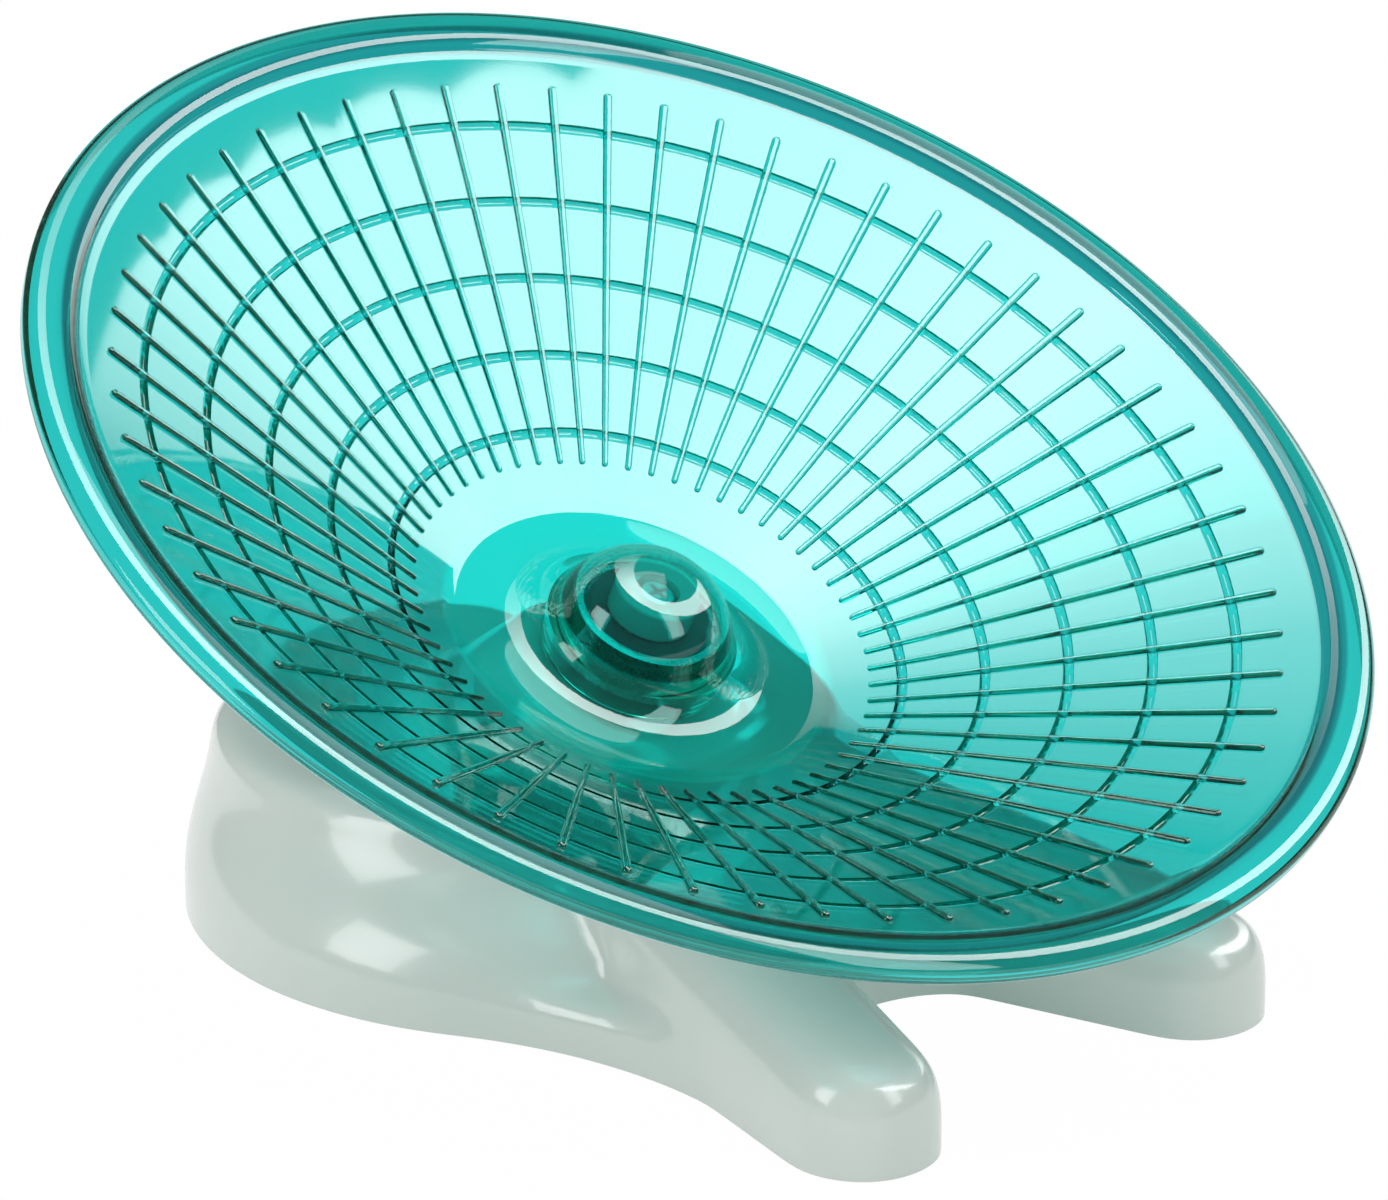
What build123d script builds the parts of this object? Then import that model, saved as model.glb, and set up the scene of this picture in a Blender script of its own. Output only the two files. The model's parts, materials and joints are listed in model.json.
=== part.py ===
from build123d import *

import math
import os

# A tilted running saucer for a hamster: a see-through dish that spins on a ball
# bearing, carried by a hollow three-lobed base. Millimetres, +Z up, the table at
# Z = 0, the low side of the dish and the two front legs towards -Y. The dish and
# all that turns with it are drawn upright, with their axis on Z and the plane of
# the rim at Z = 0, and are then tilted and lifted as one.

# Placing of the dish
tilt = 27.2
rim_plane_z = 74.7

# Dish
dish_d = 200.0
dish_wall = 2.0
dish_slope = 29.05
junction_h = 0.34

# Rolled rim of the dish
rim_width = 8.2
rim_roll_r = 5.0
rim_shoulder_r = 1.5
rim_shoulder_h = 0.47
rim_lip_h = -1.1
rim_lip_wall = 1.6

# Grip pattern on the running side
ring_count = 5
ring_outer_r = 81.3
ring_pitch = 10.65
ring_width = 1.6
ring_height = 0.65
rib_count = 60
rib_outer_r = 86.6
rib_inner_r = 34.8
rib_half_width = 0.55
rib_tip_r = 0.75

# Dome over the bearing
dome_r = 14.0
dome_top_h = -20.7
dome_wall = 1.6
valley_r = 11.0
socket_wall = 2.2
socket_depth = 9.6
stop_count = 30
stop_width = 0.8
stop_inner_r = 9.8

# Ball bearing, 8 x 22 x 7
bearing_bore_d = 8.0
bearing_d = 22.0
bearing_width = 7.0
bearing_stop_gap = 0.05
ball_count = 7
ball_d = 3.969
ball_pitch_d = 15.0
inner_land_d = 12.1
outer_land_d = 17.8
seal_seat_d = 19.2
seal_thickness = 0.55
seal_recess = 0.3
cage_sheet = 0.35
cage_width = 1.6
rivet_d = 0.7
rivet_head_d = 1.1

# Fasteners on the axle
cap_d = 12.4
cap_height = 4.2
screw_head_d = 5.6
screw_head_h = 2.0
screw_recess_d = 6.3
screw_d = 3.0
screw_length = 16.0
screw_socket = 2.4
screw_slot_width = 0.7
screw_slot_depth = 1.2
cap_round = 0.5
spacer_d = 11.4
spacer_thickness = 0.5

# Base
base_wall = 2.2
lobe_r = 56.2
lobe_y = 32.0
foot_r = 11.0
foot_x = 33.05
foot_y = -62.6
waist_r = 68.3
arch_r = 19.0
arch_y = -49.6
web_height = 8.0
web_round = 3.0
drum_r = 46.5
drum_y = 40.0
drum_height = 27.0
drum_round = 6.0
leg_height = 15.5
leg_round = 6.5
leg_root_r = 12.5
leg_root_x = 15.0
leg_root_y = 4.0
leg_root_height = 27.0
tower_foot_r = 34.0
tower_foot_y = 34.0
tower_foot_height = 23.0
tower_top_r = 16.0
tower_gap = 1.0
boss_r = 5.6
boss_root_r = 7.5

# Side of the rear lobe: share of the height, and share of the way in from lobe to drum
lobe_side = (
    (0.00, 0.00),
    (0.15, 0.02),
    (0.30, 0.06),
    (0.42, 0.16),
    (0.54, 0.40),
    (0.68, 0.72),
    (0.82, 0.93),
    (1.00, 1.00),
)

# Non-slip pads
pad_d = 10.0
pad_thickness = 2.0
pad_proud = 0.5
pad_post_wall = 1.5
rear_pad_x = 34.0
rear_pad_y = 58.0

# Clearances
press_gap = 0.03
running_gap = 0.15
ball_gap = 0.07
shaft_gap = 0.02
screw_gap = 0.15
pad_gap = 0.1

# Worked-out sizes
disc_r = dish_d / 2
slope = math.radians(dish_slope)
along_dish = Vector(math.cos(slope), math.sin(slope))
dish_normal = Vector(-math.sin(slope), math.cos(slope))
junction = Vector(disc_r - rim_width, junction_h)
dome_centre = Vector(0, dome_top_h - dome_r)
dome_cavity_r = dome_r - dome_wall
bearing_r = bearing_d / 2
socket_r = bearing_r + press_gap
socket_top_h = dome_centre.Y + math.sqrt(dome_cavity_r**2 - socket_r**2)
bearing_top_h = socket_top_h - bearing_stop_gap
bearing_centre_h = bearing_top_h - bearing_width / 2
bearing_bottom_h = bearing_top_h - bearing_width
socket_outer_r = socket_r + socket_wall
socket_bottom_h = bearing_top_h - socket_depth
tower_top_h = socket_bottom_h - tower_gap
shoulder_h = bearing_bottom_h - spacer_thickness
cap_top_h = bearing_top_h + cap_height
ball_r = ball_d / 2
pitch_r = ball_pitch_d / 2
race_groove_r = ball_r + ball_gap
shell_floor = pad_proud

# The tilted frame of the dish and its bearing
dish_plane = Plane(
    origin=(0, 0, rim_plane_z),
    x_dir=(1, 0, 0),
    z_dir=(0, -math.sin(math.radians(tilt)), math.cos(math.radians(tilt))),
)
dish_place = Location(dish_plane)


def circles_meet(centre_a, radius_a, centre_b, radius_b, side):
    """Give the point at radius_a from centre_a and radius_b from centre_b.

    side is 1 for the point on the left of the line from a to b, and -1 for the right.
    """
    apart = centre_b - centre_a
    span = apart.length
    reach = (radius_a**2 - radius_b**2 + span**2) / (2 * span)
    offset = math.sqrt(radius_a**2 - reach**2)
    unit = apart / span
    return centre_a + unit * reach + Vector(-unit.Y, unit.X) * offset * side


def line_meets_circle(start, direction, centre, radius):
    """Give the first point past start where a line enters a circle."""
    to_centre = centre - start
    middle = to_centre.dot(direction)
    half = math.sqrt(radius**2 - (to_centre.length**2 - middle**2))
    return start + direction * (middle - half)


def upright(point):
    """Turn a (radius, height) pair into a point of the XZ half-plane."""
    return Vector(point.X, 0, point.Y)


def line_edge(start, end):
    return Edge.make_line(upright(start), upright(end))


def arc_edge(centre, start, end):
    """Give the shorter arc about centre from start to end."""
    middle = (start + end) / 2 - centre
    halfway = centre + middle.normalized() * (start - centre).length
    return Edge.make_three_point_arc(upright(start), upright(halfway), upright(end))


def bump_edge(start, end, height):
    """Give a low arc that stands out of the dish by height."""
    top = (start + end) / 2 + dish_normal * height
    return Edge.make_three_point_arc(upright(start), upright(top), upright(end))


def turned(edges):
    """Revolve a closed outline about the Z axis."""
    return revolve(make_face(edges), Axis.Z, 360)


def ring_solid(inner_r, outer_r, low, high):
    """Make a plain ring about the Z axis, or a disc where inner_r is zero."""
    ring = Pos(0, 0, low) * Cylinder(outer_r, high - low, align=(Align.CENTER, Align.CENTER, Align.MIN))
    if inner_r > 0:
        hole = Pos(0, 0, low - 1) * Cylinder(
            inner_r, high - low + 2, align=(Align.CENTER, Align.CENTER, Align.MIN)
        )
        ring = ring - hole
    return ring


def on_dish(radius):
    """Give the point of the running surface at a radius from the axis."""
    return junction - along_dish * ((junction.X - radius) / along_dish.X)


# Running disc


def valley_centre():
    """Centre of the round valley that is tangent to the dome and to the dish."""
    reach = dome_r + valley_r
    start = junction + dish_normal * valley_r
    return line_meets_circle(start, along_dish * -1, dome_centre, reach)


def dish_profile():
    """Outline of the moulding's half section, round from the top of the dome."""
    valley = valley_centre()
    dome_end = dome_centre + (valley - dome_centre).normalized() * dome_r
    valley_end = valley - dish_normal * valley_r
    edges = [arc_edge(dome_centre, Vector(0, dome_top_h), dome_end)]
    edges.append(arc_edge(valley, dome_end, valley_end))

    # Running surface with its round rings
    last = valley_end
    for index in reversed(range(ring_count)):
        crest = on_dish(ring_outer_r - index * ring_pitch)
        before = crest - along_dish * (ring_width / 2)
        after = crest + along_dish * (ring_width / 2)
        edges.append(line_edge(last, before))
        edges.append(bump_edge(before, after, ring_height))
        last = after
    edges.append(line_edge(last, junction))

    # Rolled rim, outside
    shoulder = Vector(disc_r - rim_shoulder_r, rim_shoulder_h)
    roll = circles_meet(shoulder, rim_roll_r - rim_shoulder_r, junction, rim_roll_r, 1)
    roll_end = roll + (shoulder - roll).normalized() * rim_roll_r
    shoulder_end = shoulder + Vector(rim_shoulder_r, 0)
    lip_r = rim_lip_wall / 2
    lip = Vector(disc_r - lip_r, rim_lip_h + lip_r)
    edges.append(arc_edge(roll, junction, roll_end))
    edges.append(arc_edge(shoulder, roll_end, shoulder_end))
    edges.append(line_edge(shoulder_end, lip + Vector(lip_r, 0)))

    # Lip and the hollow under the rim
    edges.append(arc_edge(lip, lip + Vector(lip_r, 0), lip - Vector(0, lip_r)))
    edges.append(arc_edge(lip, lip - Vector(0, lip_r), lip - Vector(lip_r, 0)))
    hollow_r = rim_roll_r - dish_wall
    inside_x = disc_r - rim_lip_wall
    hollow_end = Vector(inside_x, roll.Y + math.sqrt(hollow_r**2 - (inside_x - roll.X) ** 2))
    under_start = junction - dish_normal * dish_wall
    hollow_start = line_meets_circle(under_start, along_dish, roll, hollow_r)
    edges.append(line_edge(lip - Vector(lip_r, 0), hollow_end))
    edges.append(arc_edge(roll, hollow_end, hollow_start))

    # Underside
    under_r = valley_r + dish_wall
    under_end = valley - dish_normal * under_r
    rise = math.sqrt(under_r**2 - (valley.X - socket_outer_r) ** 2)
    groove_end = Vector(socket_outer_r, valley.Y - rise)
    edges.append(line_edge(hollow_start, under_end))
    edges.append(arc_edge(valley, under_end, groove_end))

    # Socket for the bearing and the hollow of the dome
    socket_top = Vector(socket_r, socket_top_h)
    cavity_top = Vector(0, dome_centre.Y + dome_cavity_r)
    socket_mouth = Vector(socket_r, socket_bottom_h)
    edges.append(line_edge(groove_end, Vector(socket_outer_r, socket_bottom_h)))
    edges.append(line_edge(Vector(socket_outer_r, socket_bottom_h), socket_mouth))
    edges.append(line_edge(socket_mouth, socket_top))
    edges.append(arc_edge(dome_centre, socket_top, cavity_top))
    edges.append(line_edge(cavity_top, Vector(0, dome_top_h)))
    return edges


def grip_rib(angle):
    """One half-round rib that runs straight down the dish, with a ball at its outer end."""
    outer = on_dish(rib_outer_r)
    inner = on_dish(rib_inner_r)
    length = (outer - inner).length
    rod = Cylinder(rib_half_width, length, align=(Align.CENTER, Align.CENTER, Align.MIN))
    lying = Plane(origin=upright(inner), x_dir=(0, 1, 0), z_dir=upright(along_dish))
    tip = Pos(upright(outer)) * Sphere(rib_tip_r)
    return Rot(0, 0, angle) * (Location(lying) * rod + tip)


def bearing_stops():
    """Short ribs inside the dome, whose lower ends stop the bearing."""
    stops = []
    cavity = Pos(0, 0, dome_centre.Y) * Sphere(dome_r - dome_wall / 2)
    for index in range(stop_count):
        block = Box(socket_r, stop_width, dome_r, align=(Align.MIN, Align.CENTER, Align.MIN))
        block = Rot(0, 0, index * 360 / stop_count) * Pos(stop_inner_r, 0, bearing_top_h) * block
        stops.append(block & cavity)
    return stops


def running_disc():
    ribs = [grip_rib(index * 360 / rib_count) for index in range(rib_count)]
    return turned(dish_profile()).fuse(*ribs, *bearing_stops())


# Ball bearing, drawn about its own middle


def ball_places():
    return [
        Rot(0, 0, index * 360 / ball_count) * Pos(pitch_r, 0, 0)
        for index in range(ball_count)
    ]


def bearing_outer_race():
    half = bearing_width / 2
    seat_depth = seal_recess + seal_thickness
    race = ring_solid(outer_land_d / 2, bearing_r, -half, half)
    race = race - Torus(pitch_r, race_groove_r)
    for low in (-half - 1, half - seat_depth):
        race = race - ring_solid(0, seal_seat_d / 2, low, low + seat_depth + 1)
    return race


def bearing_inner_race():
    half = bearing_width / 2
    race = ring_solid(bearing_bore_d / 2, inner_land_d / 2, -half, half)
    return race - Torus(pitch_r, race_groove_r)


def bearing_balls():
    return [place * Sphere(ball_r) for place in ball_places()]


def cage_half(side):
    """One pressed half of the cage: a flat ring with a cup over each ball."""
    cup_in = ball_r + ball_gap
    cup_out = cup_in + cage_sheet
    low_r = pitch_r - cage_width / 2
    high_r = pitch_r + cage_width / 2
    band = ring_solid(low_r, high_r, 0, cup_out + 1)
    sheet = ring_solid(low_r, high_r, 0, cage_sheet)
    cups = [place * Sphere(cup_out) for place in ball_places()]
    hollows = [place * Sphere(cup_in) for place in ball_places()]
    half = (sheet.fuse(*cups) & band).cut(*hollows)
    half = half.cut(*[pin for pin in cage_pins(rivet_d / 2, cage_sheet * 3)])
    return half if side > 0 else mirror(half, Plane.XY)


def cage_pins(radius, length):
    """Pins on the pitch circle, midway between the balls."""
    turn = 180 / ball_count
    return [Rot(0, 0, turn) * place * Cylinder(radius, length) for place in ball_places()]


def cage_rivets():
    rivets = []
    head = cage_sheet
    for pin in cage_pins(rivet_d / 2, cage_sheet * 2):
        middle = pin.center()
        for side in (-1, 1):
            place = Pos(middle.X, middle.Y, side * (cage_sheet + head / 2))
            pin = pin + place * Cylinder(rivet_head_d / 2, head)
        rivets.append(pin)
    return rivets


def bearing_seal(side):
    outside = bearing_width / 2 - seal_recess
    low = outside - seal_thickness
    seal = ring_solid(inner_land_d / 2 + running_gap, seal_seat_d / 2 - press_gap, low, outside)
    return seal if side > 0 else mirror(seal, Plane.XY)


# Fasteners on the axle, drawn in the frame of the dish


def spacer_washer():
    bore_r = bearing_bore_d / 2 + press_gap
    return ring_solid(bore_r, spacer_d / 2, shoulder_h, bearing_bottom_h)


def retaining_cap():
    cap = ring_solid(screw_d / 2 + screw_gap, cap_d / 2, bearing_top_h, cap_top_h)
    cap = fillet(cap.edges().group_by(Axis.Z)[-1].sort_by(SortBy.RADIUS)[-1], cap_round)
    seat = cap_top_h - screw_socket
    return cap - ring_solid(0, screw_recess_d / 2, seat, cap_top_h + 1)


def cap_screw():
    seat = cap_top_h - screw_socket
    head = ring_solid(0, screw_head_d / 2, seat, seat + screw_head_h)
    head = fillet(head.edges().group_by(Axis.Z)[-1], screw_head_h * 0.45)
    shank = ring_solid(0, screw_d / 2, seat - screw_length, seat)
    shank = chamfer(shank.edges().group_by(Axis.Z)[0], screw_d * 0.3)
    screw = head + shank
    for angle in (0, 90):
        bar = Box(screw_head_d * 0.55, screw_slot_width, screw_slot_depth * 2)
        screw = screw - Pos(0, 0, seat + screw_head_h) * Rot(0, 0, angle) * bar
    return screw


# Base, drawn in the frame of the whole object


def flat(point, height=0):
    return Vector(point.X, point.Y, height)


def plan_arc(centre, start, end, height):
    """Give the shorter arc about centre, lying flat at a height."""
    middle = (start + end) / 2 - centre
    halfway = centre + middle.normalized() * (start - centre).length
    return Edge.make_three_point_arc(flat(start, height), flat(halfway, height), flat(end, height))


def base_plan(inset, height):
    """Face of the base seen from above: a round lobe behind and two legs in front."""
    lobe = Vector(0, lobe_y)
    foot = Vector(foot_x, foot_y)
    arch = Vector(0, arch_y)
    waist = circles_meet(foot, foot_r + waist_r, lobe, lobe_r + waist_r, -1)
    lobe_out = lobe + (waist - lobe).normalized() * (lobe_r - inset)
    foot_out = foot + (waist - foot).normalized() * (foot_r - inset)

    # Straight inner side of the leg, tangent to the foot on one side and to the arch on the other
    apart = foot - arch
    lean = math.acos((foot_r + arch_r) / apart.length)
    normal = (apart / apart.length).rotate(Axis.Z, math.degrees(lean))
    arch_side = arch + normal * (arch_r + inset)
    foot_in = foot - normal * (foot_r - inset)

    lobe_top = lobe + Vector(0, lobe_r - inset)
    foot_tip = foot - (foot_out + foot_in - foot * 2).normalized() * (inset - foot_r)
    right = [
        plan_arc(lobe, lobe_top, lobe_out, height),
        plan_arc(waist, lobe_out, foot_out, height),
        plan_arc(foot, foot_out, foot_tip, height),
        plan_arc(foot, foot_tip, foot_in, height),
        Edge.make_line(flat(foot_in, height), flat(arch_side, height)),
        plan_arc(arch, arch_side, arch + Vector(0, arch_r + inset), height),
    ]
    left = [mirror(edge, Plane.YZ) for edge in right]
    return make_face(right + left)


def soft_top(solid, radius):
    """Round the top edges of a solid."""
    return fillet(solid.faces().sort_by(Axis.Z)[-1].edges(), radius)


def base_leg(inset, floor, side):
    """A leg: a tapering ridge whose top climbs from the foot to the tower."""
    foot = Vector(foot_x * side, foot_y)
    root = Vector(leg_root_x * side, leg_root_y)
    foot_face = Location((foot.X, foot.Y, floor)) * Circle(foot_r - inset)
    root_face = Location((root.X, root.Y, floor)) * Circle(leg_root_r - inset)
    tall = leg_root_height * 2
    prism = extrude(make_hull(foot_face.edges() + root_face.edges()), tall, dir=(0, 0, 1))
    run = root - foot
    climb = leg_root_height - leg_height
    top = Plane(
        origin=(foot.X, foot.Y, leg_height - inset),
        x_dir=(run.X, run.Y, climb),
        z_dir=Vector(run.X, run.Y, climb).cross(Vector(-run.Y, run.X, 0)),
    )
    leg = split(prism, top, keep=Keep.BOTTOM)
    return fillet(leg.faces().sort_by(Axis.Z)[-1].edges(), leg_round - inset / 2)


def base_lobe(inset, floor):
    """The rear lobe: a skirt whose side sweeps in and up to the drum in one soft curve."""
    sections = []
    for height_share, in_share in lobe_side:
        radius = lobe_r + (drum_r - lobe_r) * in_share - inset
        middle_y = lobe_y + (drum_y - lobe_y) * in_share
        height = floor + (drum_height - inset - floor) * height_share
        sections.append(Pos(0, middle_y, height) * Circle(radius))
    return soft_top(loft(sections), drum_round - inset / 2)


def base_tower(inset):
    """The tower that carries the bearing: a cone that leans to the tilted axis."""
    foot = Plane(origin=(0, tower_foot_y, tower_foot_height - inset))
    head = dish_plane.offset(tower_top_h - inset)
    return loft([foot * Circle(tower_foot_r - inset), head * Circle(tower_top_r - inset)])


def base_form(inset, floor):
    """The outer form of the base, or with an inset the form of the hollow inside it."""
    web = extrude(base_plan(inset, floor), web_height - inset - floor, dir=(0, 0, 1))
    forms = [
        soft_top(web, web_round),
        base_lobe(inset, floor),
        base_leg(inset, floor, -1),
        base_leg(inset, floor, 1),
        base_tower(inset),
    ]
    return forms[0].fuse(*forms[1:])


def pad_spots():
    spots = []
    for side in (-1, 1):
        spots.append((foot_x * side, foot_y))
        spots.append((rear_pad_x * side, rear_pad_y))
    return spots


def base_shell():
    outside = base_form(0, shell_floor)
    inside = base_form(base_wall, shell_floor - 1)

    # Screw boss inside the tower and the stub that the bearing sits on
    seat = cap_top_h - screw_socket
    pilot_bottom = seat - screw_length - 1
    stub_r = bearing_bore_d / 2 - shaft_gap
    boss = ring_solid(0, boss_root_r, pilot_bottom - 1, tower_top_h)
    boss = boss + ring_solid(0, boss_r, tower_top_h - 1, shoulder_h)
    boss = boss + ring_solid(0, stub_r, shoulder_h - 1, bearing_top_h - 0.4)
    pilot = ring_solid(0, screw_d / 2, pilot_bottom, bearing_top_h + 1)

    posts = []
    pockets = []
    for x, y in pad_spots():
        post_height = leg_height if y < 0 else drum_height
        height = post_height - base_wall / 2 - shell_floor
        posts.append(Pos(x, y, shell_floor + height / 2) * Cylinder(pad_d / 2 + pad_post_wall, height))
        depth = pad_thickness - pad_proud
        pockets.append(Pos(x, y, shell_floor + depth / 2) * Cylinder(pad_d / 2 + pad_gap, depth))
    shell = outside - inside
    shell = shell.fuse(dish_place * boss, *[post & outside for post in posts])
    return shell.cut(dish_place * pilot, *pockets)


def foot_pads():
    return [
        Pos(x, y, pad_thickness / 2) * Cylinder(pad_d / 2, pad_thickness) for x, y in pad_spots()
    ]


def write_node(name, solids):
    """Write one node, given as one shape or as a list of separate ones."""
    shape = Compound(children=solids) if isinstance(solids, list) else solids
    export_step(shape, os.path.join("parts", name + ".step"))


def tilted(solids):
    """Bring what was drawn upright to its tilted place, keeping a list a list."""
    if isinstance(solids, list):
        return [dish_place * solid for solid in solids]
    return dish_place * solids


def main():
    os.makedirs("parts", exist_ok=True)
    in_bearing = Pos(0, 0, bearing_centre_h)
    bearing = {
        "bearing_outer_race": bearing_outer_race(),
        "bearing_inner_race": bearing_inner_race(),
        "bearing_balls": bearing_balls(),
        "cage_upper": cage_half(1),
        "cage_lower": cage_half(-1),
        "cage_rivets": cage_rivets(),
        "seal_upper": bearing_seal(1),
        "seal_lower": bearing_seal(-1),
    }
    for name, solids in bearing.items():
        if isinstance(solids, list):
            write_node(name, tilted([in_bearing * solid for solid in solids]))
        else:
            write_node(name, tilted(in_bearing * solids))
    write_node("spacer_washer", tilted(spacer_washer()))
    write_node("retaining_cap", tilted(retaining_cap()))
    write_node("cap_screw", tilted(cap_screw()))
    write_node("running_disc", tilted(running_disc()))
    write_node("base_shell", base_shell())
    write_node("foot_pads", foot_pads())


main()
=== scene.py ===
# %% [markdown]
# A running saucer for a hamster, photographed on white. The dish is one thin moulding of
# see-through turquoise plastic, and the base under it is a milky white shell. Both are shiny,
# so the whole picture is about edges, reflections and what shows through. The construction is
# loaded first: every visible piece below is fitted to it and rides on one of its bodies.

# %% Load the frame
import bpy
import bmesh
import json
import math
from mathutils import Matrix, Vector


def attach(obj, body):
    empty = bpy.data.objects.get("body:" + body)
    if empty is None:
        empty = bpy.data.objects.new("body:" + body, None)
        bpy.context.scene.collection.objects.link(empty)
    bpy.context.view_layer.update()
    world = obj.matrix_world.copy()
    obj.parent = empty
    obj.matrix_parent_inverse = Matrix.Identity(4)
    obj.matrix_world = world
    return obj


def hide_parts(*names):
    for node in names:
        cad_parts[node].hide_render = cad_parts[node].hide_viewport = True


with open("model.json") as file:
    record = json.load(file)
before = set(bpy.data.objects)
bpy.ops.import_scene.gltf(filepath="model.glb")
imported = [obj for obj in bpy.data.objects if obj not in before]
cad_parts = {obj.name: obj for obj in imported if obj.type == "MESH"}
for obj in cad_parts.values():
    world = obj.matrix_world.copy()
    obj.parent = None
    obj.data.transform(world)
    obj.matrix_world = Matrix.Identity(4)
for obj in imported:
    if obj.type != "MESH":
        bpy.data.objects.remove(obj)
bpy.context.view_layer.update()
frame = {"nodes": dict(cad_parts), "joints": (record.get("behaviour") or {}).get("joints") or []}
nodes = frame["nodes"]

# %% [markdown]
# The camera stands where the photographer's did: a long lens, a little above the object and off
# its front left corner. It is written as a place and two angles, because the picture has no tilt
# to the side and its middle is the lens's own middle. It could aim at an empty by a constraint,
# but plain numbers can't be upset by a later edit. A long lens flattens the ellipse of the rim,
# and a wrong distance would show at once in the spacing of the rings.

# %% Camera
MM = 0.001
CAMERA_PLACE = Vector((-538.5, -555.4, 332.3)) * MM
CAMERA_LENS = 150.05
CAMERA_ELEVATION = 19.78
CAMERA_TURN = -43.91
SENSOR_WIDTH = 36.0
NEAREST = 0.05

camera_data = bpy.data.cameras.new("camera")
camera_data.lens = CAMERA_LENS
camera_data.sensor_width = SENSOR_WIDTH
camera_data.clip_start = NEAREST
camera = bpy.data.objects.new("camera", camera_data)
camera.matrix_world = (
    Matrix.Translation(CAMERA_PLACE)
    @ Matrix.Rotation(math.radians(CAMERA_TURN), 4, "Z")
    @ Matrix.Rotation(math.radians(90 - CAMERA_ELEVATION), 4, "X")
)
bpy.context.scene.collection.objects.link(camera)
bpy.context.scene.camera = camera
bpy.context.scene.view_settings.view_transform = "Standard"
print("camera", [round(v, 3) for v in CAMERA_PLACE])

# %% [markdown]
# The dish leans on a tilted axis. It is drawn upright, its axis on Z and the plane of its rim at
# zero height, and is then tipped and lifted in one go, because round things are easy to draw
# upright. The axis is read from the frame's own spin joint, so the dish and the bearing always
# share it. The sizes below are the moulding's own, in millimetres.

# %% The tilted axis, from the frame
spin = next(joint for joint in frame["joints"] if joint["name"] == "disc_spin")
AXIS = Vector(spin["axis"]).normalized()
TILT = math.atan2(-AXIS.y, AXIS.z)
RIM_PLANE_Z = spin["pos_m"][2] + spin["pos_m"][1] * AXIS.z / -AXIS.y
TIP = Matrix.Translation((0, 0, RIM_PLANE_Z)) @ Matrix.Rotation(TILT, 4, "X")
print("tilt", round(math.degrees(TILT), 2), "rim plane", round(RIM_PLANE_Z, 4))

# %% [markdown]
# Every mesh below is shaped as a bmesh, Blender's editing mesh, and then put in the scene. Two
# ends are needed: a finished piece, which is smooth but for its sharp edges and rides on a body,
# and a loose object, which only serves a modifier for a moment. Auto smooth by angle keeps a
# moulding's round skin soft and its rims crisp without extra faces.

# %% From a bmesh to an object
def loose_object(name, bm):
    """A plain object at the origin, which takes the bmesh over."""
    mesh = bpy.data.meshes.new(name)
    bmesh.ops.recalc_face_normals(bm, faces=bm.faces)
    bm.to_mesh(mesh)
    bm.free()
    made = bpy.data.objects.new(name, mesh)
    bpy.context.scene.collection.objects.link(made)
    return made


def piece_from(name, bm, body, slot, smooth_angle):
    """A finished piece that rides on a body; the slot argument is not used."""
    piece = loose_object(name, bm)
    mesh = piece.data
    mesh.polygons.foreach_set("use_smooth", [True] * len(mesh.polygons))
    mesh.set_sharp_from_angle(angle=math.radians(smooth_angle))
    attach(piece, body)
    return piece


def evaluated_bmesh(made):
    """What an object's modifiers make of it, as a bmesh. The object is removed."""
    graph = bpy.context.evaluated_depsgraph_get()
    mesh = bpy.data.meshes.new_from_object(made.evaluated_get(graph))
    bm = bmesh.new()
    bm.from_mesh(mesh)
    bpy.data.objects.remove(made)
    bpy.data.meshes.remove(mesh)
    return bm


print("helpers", [made.__name__ for made in (loose_object, piece_from, evaluated_bmesh)])

# %% [markdown]
# A toolmaker draws a moulding's section from lines and arcs that run into each other. Three small
# helpers find the same points: along an arc, where two circles meet, and where a line enters a
# circle. Working from the real radii keeps the curves true, where points picked by eye would give
# a reflection that wobbles.

# %% Points of lines and arcs
def arc_points(centre, radius, start_angle, end_angle, count):
    """Points along an arc in a plane, angles in radians, both ends included."""
    step = (end_angle - start_angle) / (count - 1)
    angles = [start_angle + index * step for index in range(count)]
    return [Vector((centre.x + radius * math.cos(a), centre.y + radius * math.sin(a))) for a in angles]


def angle_of(vector):
    return math.atan2(vector.y, vector.x)


def circles_meet(centre_a, radius_a, centre_b, radius_b, side):
    """The point at two given distances from two centres, on the left (1) or right (-1)."""
    apart = centre_b - centre_a
    reach = (radius_a**2 - radius_b**2 + apart.length_squared) / (2 * apart.length)
    offset = math.sqrt(radius_a**2 - reach**2)
    unit = apart.normalized()
    return centre_a + unit * reach + Vector((-unit.y, unit.x)) * offset * side


def line_meets_circle(start, direction, centre, radius):
    """The first point past start where a line enters a circle."""
    middle = (centre - start).dot(direction)
    half = math.sqrt(radius**2 - ((centre - start).length_squared - middle**2))
    return start + direction * (middle - half)


quarter = arc_points(Vector((0, 0)), 1.0, 0.0, math.pi / 2, 3)
print("a quarter arc in three", [tuple(round(v, 2) for v in point) for point in quarter])

# %% [markdown]
# The dish's half section is one closed outline: over the dome, through the round valley, up the
# ribbed slope, over the rolled rim, and back along the underside into the bearing's socket. Spun
# about the axis it gives the whole moulding, walls and all. A single skin with a Solidify would be
# quicker, but real wall thickness matters here: the dark and bright bands along the rim are light
# bent by the roll's two faces. The slope is a straight line, so it comes first.

# %% The slope of the dish
DISH_R = 100.0
DISH_WALL = 2.0
SLOPE = math.radians(29.05)
ALONG = Vector((math.cos(SLOPE), math.sin(SLOPE)))
NORMAL = Vector((-math.sin(SLOPE), math.cos(SLOPE)))
JUNCTION = Vector((91.8, 0.34))


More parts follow.
